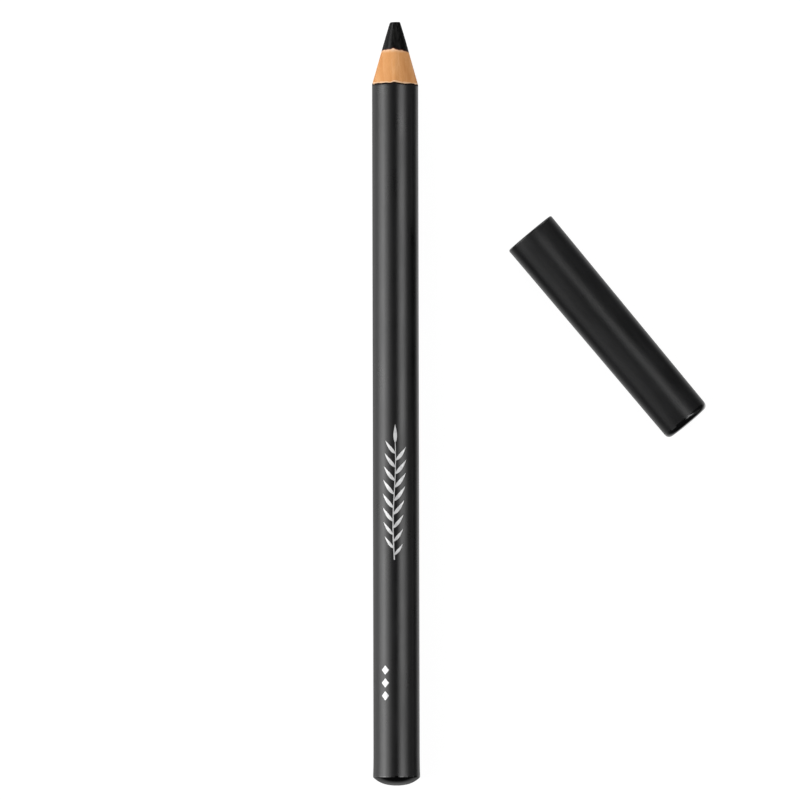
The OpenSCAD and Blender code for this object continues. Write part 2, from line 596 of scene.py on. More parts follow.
@dataclass(frozen=True)
class GlossDip(Finish):
    """The thicker gloss black that the blunt end is dipped in."""

    base: Colour = (0.0012, 0.0012, 0.0013)
    light: Colour = (0.0020, 0.0020, 0.0022)
    gloss: float = 0.07
    refraction: float = 1.52

    def paint(self, s: Surface) -> None:
        """Adds the patterns of the dip."""
        sag = s.noise(s.placed(), 380, 2.0, 0.5, 0.4)
        fleck = s.noise(s.placed(), 9000, 2.0, 0.6)
        s.set(Base_Color=s.blend(s.span(sag, 0.4, 0.7), self.base, self.light),
              IOR=self.refraction,
              Roughness=s.span(fleck, 0.4, 0.75, self.gloss, self.gloss + 0.05),
              Normal=s.bump(sag, 5e-6))


@dataclass(frozen=True)
class CutCedar(Finish):
    """Bare softwood as a sharpener leaves it: lengthwise grain, fine rings of the blade."""

    origin: tuple[float, float, float]
    pale: Colour = (0.74, 0.395, 0.175)
    warm: Colour = (0.68, 0.320, 0.115)
    deep: Colour = (0.57, 0.230, 0.070)
    pore: Colour = (0.30, 0.11, 0.04)
    lip: Colour = (0.86, 0.60, 0.40)
    lip_from: float = 2.16 * MM
    lip_to: float = 2.36 * MM
    rough: float = 0.56
    refraction: float = 1.27

    def paint(self, s: Surface) -> None:
        """Adds the patterns of the wood."""
        broad = s.noise(s.placed(self.origin, scale=(1, 0.09, 0.55)), 720, 3.0, 0.55, 0.6)
        rings = s.out("ShaderNodeTexWave",
                      {"Vector": s.placed(self.origin, (0.0, 0.22, 0.0), (1, 0.05, 0.25)),
                       "Scale": 260.0, "Distortion": 3.0, "Detail": 2.0, "Detail Scale": 0.9},
                      key="Fac", wave_type="BANDS", bands_direction="X", wave_profile="SAW")
        fibre = s.noise(s.placed(self.origin, scale=(1, 0.045, 1)), 7600, 4.0, 0.62)
        dashes = s.noise(s.placed(self.origin, scale=(1, 0.13, 1)), 4200, 2.0, 0.5)
        tone = broad * 0.88 + rings * 0.12
        colour = s.ramp(s.span(tone, 0.24, 0.80),
                        ((0.0, self.pale), (0.48, self.warm), (1.0, self.deep)))
        colour = s.blend(s.span(fibre, 0.38, 0.72, 0.0, 0.30), colour, self.deep)
        colour = s.blend(s.span(dashes, 0.68, 0.80, 0.0, 0.40), colour, self.pore)
        x, _, z = s.parts(s.placed(self.origin))
        reach = s.maths("SQRT", x * x + z * z)
        lip = s.span(reach, self.lip_from, self.lip_to, 1.0, 0.0)
        colour = s.blend(lip * s.span(dashes, 0.3, 0.55, 0.35, 1.0), colour, self.lip)
        blade = s.out("ShaderNodeTexWave",
                      {"Vector": s.placed(self.origin), "Scale": 2300.0, "Distortion": 2.2,
                       "Detail": 3.0, "Detail Scale": 1.4}, key="Fac", wave_type="BANDS",
                      bands_direction="Y", wave_profile="SIN")
        s.set(Base_Color=colour, IOR=self.refraction,
              Roughness=s.span(fibre, 0.3, 0.7, self.rough - 0.08, self.rough + 0.1),
              Normal=s.bump(blade, 1.6e-6, s.bump(fibre, 6e-6)))


@dataclass(frozen=True)
class WaxCore(Finish):
    """Black pigment in wax: soft sheen, drag marks along the cut and a few pale crumbs."""

    origin: tuple[float, float, float]
    dark: Colour = (0.0018, 0.0017, 0.0015)
    light: Colour = (0.0090, 0.0090, 0.0083)
    pale: Colour = (0.055, 0.054, 0.050)
    rough: float = 0.36
    refraction: float = 1.34

    def paint(self, s: Surface) -> None:
        """Adds the patterns of the wax."""
        drag = s.noise(s.placed(self.origin, scale=(1, 0.11, 1)), 3400, 4.0, 0.62, 0.3)
        crumb = s.noise(s.placed(self.origin, scale=(1, 0.6, 1)), 5200, 3.0, 0.65)
        colour = s.blend(s.span(drag, 0.46, 0.74), self.dark, self.light)
        colour = s.blend(s.span(crumb, 0.70, 0.80, 0.0, 0.5), colour, self.pale)
        s.set(Base_Color=colour, IOR=self.refraction,
              Roughness=s.span(drag, 0.35, 0.7, self.rough - 0.1, self.rough + 0.12),
              Normal=s.bump(crumb, 7e-6, s.bump(drag, 16e-6)))


@dataclass(frozen=True)
class PrimerEdge(Finish):
    """The pale filler between the wood and the lacquer, seen where the blade cut it."""

    base: Colour = (0.80, 0.50, 0.29)
    worn: Colour = (0.62, 0.31, 0.14)
    rough: float = 0.6

    def paint(self, s: Surface) -> None:
        """Adds the patterns of the primer."""
        patch = s.noise(s.placed(scale=(1, 0.5, 1)), 1500, 3.0, 0.6)
        s.set(Base_Color=s.blend(s.span(patch, 0.52, 0.74), self.base, self.worn),
              Roughness=self.rough, Normal=s.bump(patch, 6e-6))


@dataclass(frozen=True)
class GlueLine(Finish):
    """The dark red-brown seam of glue and pigment between the core and the wood."""

    base: Colour = (0.075, 0.018, 0.010)
    light: Colour = (0.20, 0.055, 0.026)

    def paint(self, s: Surface) -> None:
        """Adds the patterns of the glue."""
        patch = s.noise(s.placed(), 2600, 3.0, 0.6)
        s.set(Base_Color=s.blend(s.span(patch, 0.4, 0.66), self.base, self.light),
              Roughness=s.span(patch, 0.3, 0.7, 0.35, 0.55), Normal=s.bump(patch, 5e-6))


@dataclass(frozen=True)
class CutLacquer(Finish):
    """The raw edge of the lacquer where the blade went through it."""

    base: Colour = (0.0055, 0.0030, 0.0022)
    chipped: Colour = (0.034, 0.015, 0.008)
    refraction: float = 1.25

    def paint(self, s: Surface) -> None:
        """Adds the patterns of the cut edge."""
        chips = s.noise(s.placed(), 3800, 3.0, 0.65)
        s.set(Base_Color=s.blend(s.span(chips, 0.50, 0.72), self.base, self.chipped),
              Roughness=s.span(chips, 0.3, 0.7, 0.6, 0.8), IOR=self.refraction,
              Normal=s.bump(chips, 9e-6))


@dataclass(frozen=True)
class MouldedCap(Finish):
    """Black moulded plastic: a fine spark-eroded satin on the side, polished at the end."""

    origin: tuple[float, float, float]
    turn: tuple[float, float, float]
    polished_from: float
    dark: Colour = (0.0030, 0.0030, 0.0033)
    light: Colour = (0.0060, 0.0060, 0.0066)
    satin: float = 0.37
    polish: float = 0.12
    refraction: float = 1.46

    def paint(self, s: Surface) -> None:
        """Adds the patterns of the plastic."""
        place = s.placed(self.origin, self.turn)
        depth = s.parts(place)[2]
        polished = s.span(depth, self.polished_from - 0.15 * MM, self.polished_from)
        grain = s.noise(place, 11000, 3.0, 0.65)
        flow = s.noise(s.placed(self.origin, self.turn, (1, 1, 0.18)), 620, 3.0, 0.5)
        rough = s.span(flow, 0.3, 0.7, self.satin - 0.035, self.satin + 0.035)
        rough = rough - polished * (rough - self.polish)
        keep = 1.0 - polished * 0.85
        s.set(Base_Color=s.blend(s.span(flow, 0.35, 0.7), self.dark, self.light), Roughness=rough,
              IOR=self.refraction, Normal=s.bump(grain * keep, 1.4e-6, s.bump(flow, 5e-6)))


@dataclass(frozen=True)
class SilverFoil(Finish):
    """Hot-stamped silver-white foil with the faint mottle of the stamp."""

    bright: Colour = (0.70, 0.70, 0.70)
    dull: Colour = (0.50, 0.50, 0.51)
    metal: float = 0.25

    def paint(self, s: Surface) -> None:
        """Adds the patterns of the foil."""
        mottle = s.noise(s.placed(), 5200, 3.0, 0.6)
        wear = s.noise(s.placed(), 1500, 2.0, 0.5)
        s.set(Base_Color=s.blend(s.span(wear, 0.45, 0.75), self.bright, self.dull),
              Metallic=self.metal, Roughness=s.span(mottle, 0.3, 0.7, 0.34, 0.5),
              Normal=s.bump(mottle, 1.5e-6))


# The pencil


@dataclass
class Pencil:
    """Sizes that the pieces of the pencil share, and the waves that their edges follow.

    The waves, the notch and the relief have their heights in millimetres.
    """

    length: float = 126.5 * MM
    barrel_r: float = 3.825 * MM
    lacquer: float = 0.02 * MM
    primer: float = 0.06 * MM
    chip: float = 0.17 * MM
    core_r: float = 2.17 * MM
    glue: float = 0.035 * MM
    joint_gap: float = 0.02 * MM
    cone_half_angle: float = 16.3
    tip_d: float = 1.65 * MM
    tip_round: float = 0.14 * MM
    dome_h: float = 1.40 * MM
    dome_flatness: float = 1.346
    shoulder_r: float = 4.407 * MM
    dip: float = 0.1 * MM
    swell_h: float = 0.07 * MM
    swell_end: float = 6.0 * MM
    rim_round: float = 0.2 * MM
    dip_lap: float = 0.17 * MM
    core_out: float = 0.038
    core_waves: Waves = ((0.045, 1, 0.10), (0.048, 2, -math.pi / 2), (0.012, 3, 1.1),
                         (0.009, 8, 0.4), (0.007, 17, 2.0))
    coat_waves: Waves = ((0.011, 5, 0.7), (0.010, 11, 2.1), (0.005, 19, 0.3))
    edge_waves: Waves = ((0.012, 7, 1.9), (0.008, 23, 0.8))
    notch: float = 0.052
    notch_at: float = -0.11
    notch_width: float = 0.14
    facet: float = 0.012
    drag: float = 0.006
    axis: Axis = field(init=False)

    def __post_init__(self) -> None:
        """Takes the pencil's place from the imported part."""
        low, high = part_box("liner_core")
        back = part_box("dipped_end")[0].y
        origin = Vector(((low.x + high.x) / 2, back, self.rim_r))
        self.axis = Axis(origin, Vector((0, 1, 0)), Vector((0, 0, 1)))

    @property
    def rim_r(self) -> float:
        """Radius of the rim beside the dome, on which the pencil rests."""
        return self.barrel_r + self.swell_h

    @property
    def wood_r(self) -> float:
        """Radius of the lacquer's inside."""
        return self.barrel_r - self.lacquer

    @property
    def casing_r(self) -> float:
        """Radius of the bare wood under its primer."""
        return self.wood_r - self.primer

    @property
    def slope(self) -> float:
        """How far the cone opens for each unit back from the tip."""
        return math.tan(math.radians(self.cone_half_angle))

    @property
    def dome_r(self) -> float:
        """Radius of the blunt end's flat crown."""
        return self.dome_flatness * (self.rim_r**2 + self.dome_h**2) / (2 * self.dome_h)

    @property
    def dome_angle(self) -> float:
        """How far from the axis, in radians, the crown runs into the rounder shoulder."""
        arm, deep = self.dome_r - self.shoulder_r, self.dome_r - self.dome_h
        reach = math.hypot(self.rim_r, deep)
        turn = math.acos((reach**2 + arm**2 - self.shoulder_r**2) / (2 * reach * arm))
        return math.atan2(self.rim_r, deep) - turn

    @property
    def shoulder(self) -> tuple[float, float]:
        """Where the middle of the shoulder's arc lies, along the axis and away from it."""
        arm = self.dome_r - self.shoulder_r
        return (self.dome_r - arm * math.cos(self.dome_angle), arm * math.sin(self.dome_angle))

    @property
    def rim_along(self) -> float:
        """Where the rounded rim stands straight up along the barrel."""
        along, radius = self.shoulder
        bend = self.rim_round
        return along - math.sqrt((self.shoulder_r - bend)**2 - (self.rim_r - bend - radius)**2)

    @property
    def rim_angle(self) -> float:
        """How far from the axis, in degrees, the shoulder runs into the rounded rim."""
        along, radius = self.shoulder
        return math.degrees(math.atan2(self.rim_r - self.rim_round - radius,
                                       along - self.rim_along))

    @property
    def seam(self) -> float:
        """Where along the barrel the dip ends, a little past the rim."""
        return self.rim_along + self.dip_lap

    def dome(self, inset: float, pieces: int) -> list[Station]:
        """The dome sunk by an inset, from the axis to where its shoulder meets the rim."""
        turn = math.degrees(self.dome_angle)
        along, radius = self.shoulder
        crown = rounded(self.dome_r, 0.0, self.dome_r - inset, 180.0, 180.0 - turn, pieces)
        shoulder = rounded(along, radius, self.shoulder_r - inset, 180.0 - turn,
                           180.0 - self.rim_angle, pieces * 2)
        return [*crown, *shoulder[1:]]

    def rim(self, start: float, end: float, pieces: int) -> list[Station]:
        """The rounded rim between two of its angles, in degrees from the axis direction."""
        return rounded(self.rim_along, self.rim_r - self.rim_round, self.rim_round, start, end,
                       pieces)

    def cone_at(self, radius: float) -> float:
        """Where along the axis the sharpened cone has a radius."""
        return self.length - (radius - self.tip_d / 2) / self.slope

    def inner_dome_at(self, radius: float) -> float:
        """Where along the axis the inside of the dip has a radius."""
        along, out = self.shoulder
        if radius < (self.dome_r - self.dip) * math.sin(self.dome_angle):
            return self.dome_r - math.sqrt((self.dome_r - self.dip)**2 - radius**2)
        return along - math.sqrt((self.shoulder_r - self.dip)**2 - (radius - out)**2)

    def inner_dome(self, radius: float, pieces: int) -> list[Station]:
        """The inside of the dip, from the axis out to a radius."""
        radii = [radius * step / pieces for step in range(pieces + 1)]
        return [Station(self.inner_dome_at(r), r) for r in radii]

    def swollen_r(self, along: float) -> float:
        """Radius of the barrel near the rim, where the lacquer swells."""
        share = (self.swell_end - along) / (self.swell_end - self.rim_along)
        return self.barrel_r + self.swell_h * max(0.0, min(1.0, share)) ** 2.6

    def core_wave(self, angle: float) -> float:
        """How far the core's edge strays out at an angle, with one notch of wood in it."""
        wave = self.core_out + waved(self.core_waves, angle)
        return (wave - self.notch * self.near(self.notch_at, angle)) * MM

    def near(self, place: float, angle: float) -> float:
        """How close an angle is to a place: 1 on it, and near 0 from twice the width on."""
        off = math.atan2(math.sin(angle - place), math.cos(angle - place))
        return math.exp(-(off / self.notch_width) ** 2)

    def cut_back(self, angle: float) -> float:
        """How far back the sharpener, held a little askew, cut the coats at an angle."""
        return (0.175 + 0.085 * math.sin(angle) - 0.31 * self.near(0.0, angle)) * MM

    def coat_wave(self, angle: float) -> float:
        """How far the scalloped edge of the lacquer and its primer strays out at an angle."""
        return waved(self.coat_waves, angle) * MM

    def chipped(self, station: Station, angle: float) -> tuple[float, float]:
        """How far a station of the lacquer's broken edge moves along and out at an angle."""
        back = self.coat_wave(angle) / self.slope + self.cut_back(angle)
        return -station.slide * back, 0.0

    def edge_wave(self, angle: float) -> float:
        """How far the inner edge of the primer strays out at an angle."""
        return waved(self.edge_waves, angle) * MM

    def relief(self, along: float, angle: float) -> float:
        """How uneven the cut cone is at a place: long facets and small drags."""
        around = Vector((math.cos(angle), math.sin(angle), 0.0))
        long = noise.noise(around * 2.3 + Vector((0, 0, along / MM * 0.16)))
        small = noise.noise(around * 9.0 + Vector((3.0, 5.0, along / MM * 1.1)))
        return (self.facet * long + self.drag * small) * MM

    def move(self, station: Station, angle: float) -> tuple[float, float]:
        """How far a station moves along and out at an angle."""
        wave = (station.core * self.core_wave(angle) + station.coat * self.coat_wave(angle)
                + station.edge * self.edge_wave(angle))
        out = wave
        if station.relief:
            out += station.relief * self.relief(station.along, angle)
        back = station.slide * wave / self.slope + station.cut * self.cut_back(angle)
        return -back, out


@dataclass
class SharpenedPoint:
    """Everything that the sharpener cut: core, glue line and the two halves of the casing."""

    pencil: Pencil
    steps: int = 288
    worn_from: float = 0.7 * MM
    wear: float = 0.085 * MM
    crumble: float = 0.02 * MM
    glue_lap: float = 0.004 * MM
    glue_back: float = 20.0 * MM

    def core(self) -> bpy.types.Object:
        """Builds the core from its hidden rounded end to its blunt tip."""
        p = self.pencil
        tip_r, lean = p.tip_d / 2, math.radians(p.cone_half_angle)
        flat_r = tip_r - p.tip_round * (1 - math.sin(lean)) / math.cos(lean)
        hidden = p.inner_dome(p.core_r, 8)
        shoulder = Station(p.cone_at(p.core_r), p.core_r, core=1.0, slide=1.0)
        brow = Station(p.length - p.tip_round * (1 - math.sin(lean)),
                       flat_r + p.tip_round * math.cos(lean), relief=1.0)
        outline = [Station(hidden[0].along, 0.0), *hidden[1:-1],
                   Station(hidden[-1].along, p.core_r, core=1.0),
                   *straight(Station(hidden[-1].along + 0.5 * MM, p.core_r, core=1.0),
                             Station(shoulder.along - 1.0 * MM, p.core_r, core=1.0), 6),
                   Station(shoulder.along - 1.0 * MM, p.core_r, core=1.0),
                   *straight(shoulder, brow, 34)]
        cap = rounded(p.length - p.tip_round, flat_r, p.tip_round,
                      90.0 - p.cone_half_angle, 0.0, 9)
        outline += [Station(s.along, s.radius, relief=1.0) for s in cap]
        outline += [Station(p.length, flat_r * share, relief=0.3) for share in (0.75, 0.5, 0.25)]
        outline.append(Station(p.length, 0.0))
        made = turned("sharpened_core", outline, p.axis, self.steps, self.blunted)
        return dress(made, WaxCore("wax_core", tuple(p.axis.origin)), ["liner_core"])

    def blunted(self, station: Station, angle: float) -> tuple[float, float]:
        """Moves a station as the pencil's waves do, and wears one side of the tip down."""
        p = self.pencil
        back, out = p.move(station, angle)
        if station.relief:
            near = max(0.0, 1.0 - (p.length - station.along) / self.worn_from)
            worn = 0.5 - 0.5 * math.sin(angle)
            back -= self.wear * near * worn * (station.radius / (p.tip_d / 2)) ** 2
            place = Vector((station.radius / MM * 2.5, math.cos(angle) * 2, 4.0))
            back -= self.crumble * near * noise.noise(place)
        return back, out

    def glue_line(self) -> bpy.types.Object:
        """Builds the thin sleeve between the core and the wood."""
        p = self.pencil
        inner, outer = p.core_r - self.glue_lap, p.core_r + p.glue
        outline = [Station(p.length - self.glue_back, inner, core=1.0),
                   Station(p.length - self.glue_back, outer, core=1.0),
                   Station(p.cone_at(outer) - 0.6 * MM, outer, core=1.0),
                   Station(p.cone_at(outer), outer, core=1.0, slide=1.0),
                   Station(p.cone_at(inner) + 0.012 * MM, inner + 0.006 * MM, core=1.0,
                           slide=1.0),
                   Station(p.cone_at(inner) - 0.6 * MM, inner, core=1.0)]
        made = turned("core_glue_line", outline, p.axis, self.steps, p.move)
        return dress(made, GlueLine("glue_seam"))

    def casing(self, half: Side) -> bpy.types.Object:
        """Builds one of the two slats of the casing.

        Args:
            half: Which slat.

        Returns:
            The slat, dressed.
        """
        p = self.pencil
        inner, outer = p.core_r + p.glue, p.casing_r
        root = Station(p.inner_dome_at(outer), outer)
        shoulder = Station(p.cone_at(outer), outer, edge=1.0, slide=1.0, cut=1.0)
        throat = Station(p.cone_at(inner), inner, core=1.0, slide=1.0)
        cone = straight(shoulder, throat, 30)
        cone = [cone[0], *(replace(s, relief=1.0) for s in cone[1:])]
        outline = [*straight(Station(p.inner_dome_at(inner), inner, core=1.0), root, 4),
                   *straight(root, Station(shoulder.along - 1.0 * MM, outer, edge=1.0), 6),
                   Station(shoulder.along - 1.0 * MM, outer, edge=1.0),
                   *cone, throat,
                   *straight(Station(throat.along - 0.6 * MM, inner, core=1.0),
                             Station(p.inner_dome_at(inner) + 1.0 * MM, inner, core=1.0), 6)]
        gap = math.asin(p.joint_gap / 2 / outer)
        start = (-math.pi / 2 if half is Side.UPPER else math.pi / 2) + gap
        made = turned(f"{half.name.lower()}_wood_casing", outline, p.axis, self.steps // 2,
                      p.move, start, math.pi - 2 * gap)
        return dress(made, CutCedar(f"cut_cedar_{half.name.lower()}", tuple(p.axis.origin)),
                     [f"{half.name.lower()}_wood_half"])


@dataclass
class Coats:
    """The layers on the wood: primer and satin lacquer, each cut through at the cone."""

    pencil: Pencil
    steps: int = 288

    def primer(self) -> bpy.types.Object:
        """Builds the primer under the lacquer."""
        p = self.pencil
        inner, outer = p.casing_r, p.wood_r
        outline = [Station(p.inner_dome_at(inner) + 0.1 * MM, inner, edge=1.0),
                   Station(p.inner_dome_at(inner) + 0.16 * MM, outer),
                   *straight(Station(4 * MM, outer), Station(p.cone_at(outer) - 1 * MM, outer), 8),
                   Station(p.cone_at(outer) - 1.0 * MM, outer),
                   Station(p.cone_at(outer), outer, coat=0.3, slide=1.0, cut=1.0),
                   Station(p.cone_at(inner) + 0.01 * MM, inner + 0.005 * MM, edge=1.0,
                           slide=1.0, cut=1.0),
                   Station(p.cone_at(inner) - 1.0 * MM, inner, edge=1.0),
                   *straight(Station(p.cone_at(inner) - 3 * MM, inner, edge=1.0),
                             Station(6 * MM, inner, edge=1.0), 8)]
        made = turned("primer_coat", outline, p.axis, self.steps, p.move)
        return dress(made, PrimerEdge("pale_primer"))

    def lacquer(self) -> bpy.types.Object:
        """Builds the black coat with its swollen rim and its cut edge."""
        p = self.pencil
        seam = p.seam
        edge, inner = p.cone_at(p.barrel_r) - p.chip, p.wood_r
        outline = [Station(seam, inner), *sampled(p.swollen_r, seam, p.swell_end, 18),
                   *straight(Station(8 * MM, p.barrel_r), Station(edge - 2 * MM, p.barrel_r), 14),
                   *straight(Station(edge - 2 * MM, p.barrel_r),
                             Station(edge - 0.1 * MM, p.barrel_r, slide=0.7), 8),
                   Station(edge - 0.035 * MM, p.barrel_r - 0.001 * MM, slide=0.9),
                   Station(edge, p.barrel_r - 0.005 * MM, slide=1.0),
                   Station(p.cone_at(inner) - 0.01 * MM, inner + 0.002 * MM, slide=0.9),
                   Station(edge - 1.0 * MM, inner),
                   *straight(Station(edge - 3 * MM, inner), Station(seam + 0.5 * MM, inner), 8),
                   Station(seam + 0.5 * MM, inner)]
        made = turned("lacquer_coat", outline, p.axis, self.steps, p.chipped)
        dress(made, SatinLacquer("satin_lacquer"), ["barrel_lacquer"])
        made.data.materials.append(CutLacquer("cut_lacquer").material())
        origin, along = p.axis.origin, p.axis.along
        for face in made.data.polygons:
            reach = (face.center - origin).dot(along)
            out = ((face.center - origin) - along * reach).length
            if reach > edge - 1.0 * MM and inner + 0.003 * MM < out < p.barrel_r - 0.0025 * MM:
                face.material_index = 1
        return made


# Turned pieces that Geometry Nodes make


@dataclass
class Lathe:
    """A Geometry Nodes tree that turns a polyline of stations round an axis.

    The ripple's cells are along the axis for each metre, and round it for each radian.
    """

    maker: Maker = field(default_factory=lambda: Maker("lathe"))
    cells_along: float = 160.0
    cells_round: float = 1.6
    weld: float = 4e-7

    def __post_init__(self) -> None:
        """Builds the tree."""
        m = self.maker
        profile = m.source.outputs[0]
        stations, steps = m.size("Stations", kind="Int"), m.size("Steps", kind="Int")
        ripple, wander = m.size("Ripple"), m.size("Ripple Seed")
        grid = m.out("GeometryNodeMeshGrid",
                     {"Size X": 1.0, "Size Y": 1.0, "Vertices X": steps + 1.0,
                      "Vertices Y": stations}, key="Mesh")
        index = m.out("GeometryNodeInputIndex")
        ring = m.maths("FLOOR", (index + 0.5) / stations)
        row = index - ring * stations
        angle = ring * math.tau / steps
        sample = m.add("GeometryNodeSampleIndex", data_type="FLOAT_VECTOR", domain="POINT")
        value = next(s for s in sample.inputs if s.name == "Value" and s.enabled)
        m.wire(profile, sample.inputs["Geometry"])
        m.wire(m.out("GeometryNodeInputPosition"), value)
        m.wire(row, sample.inputs["Index"])
        radius, _, along = m.parts(next(s for s in sample.outputs if s.enabled))
        east, north = m.maths("COSINE", angle), m.maths("SINE", angle)
        texture = m.out("ShaderNodeTexNoise",
                        {"Vector": m.vector(east + wander, north, along * self.cells_along),
                         "Scale": self.cells_round, "Detail": 1.0})
        share = m.maths("MINIMUM", radius * 1000.0, 1.0)
        radius = radius + (texture - 0.5) * ripple * share
        spun = m.moved(grid, m.vector(radius * east, radius * north, along))
        closed = m.out("GeometryNodeMergeByDistance", {"Geometry": spun, "Distance": self.weld})
        m.end_on_axis(closed)

    def turn(self, name: str, outline: Sequence[Station], axis: Axis, steps: int,
             finish: Finish, ripple: float, seed: float) -> bpy.types.Object:
        """Turns an outline whose two ends are on the axis.

        Args:
            name: The new object's name.
            outline: The stations in order.
            axis: The line that it turns round.
            steps: How many steps a full turn is cut into.
            finish: The finish that the tree sets.
            ripple: How uneven the radius is, in metres.
            seed: Which unevenness it gets.

        Returns:
            The new object.
        """
        start = bpy.data.meshes.new(name + "_outline")
        start.from_pydata([(s.radius, 0.0, s.along) for s in outline],
                          [(k, k + 1) for k in range(len(outline) - 1)], [])
        return self.maker.grow(name, {
            "Stations": len(outline), "Steps": steps, "Ripple": ripple, "Ripple Seed": seed,
            **axis.placing, "Finish": finish.material(),
        }, start, 10.0)


@dataclass
class DippedEnd:
    """The gloss dip over the blunt end: a dome that laps past the rim, ending in a soft bead."""

    pencil: Pencil
    lathe: Lathe
    bead: float = 0.004 * MM
    steps: int = 256

    def build(self) -> bpy.types.Object:
        """Builds the dip."""
        p = self.pencil
        rim = p.rim(180.0 - p.rim_angle, 90.0, 10)
        edge = p.swollen_r(p.seam)
        inside = p.inner_dome(p.casing_r, 16)[:0:-1]
        outline = [Station(0.0, 0.0), *p.dome(0.0, 14)[1:], *rim[1:],
                   Station(p.seam - self.bead, edge + self.bead),
                   Station(p.seam + self.bead, edge + self.bead * 0.6),
                   Station(p.seam + self.bead * 2, edge - 0.002 * MM),
                   Station(p.seam + self.bead * 2, p.wood_r),
                   *inside, Station(p.dip, 0.0)]
        finish = GlossDip("gloss_dip")
        made = self.lathe.turn("domed_dip", outline, p.axis, self.steps, finish,
                               0.012 * MM, 3.0)
        return dress(made, finish, ["dipped_end"])


# The cap


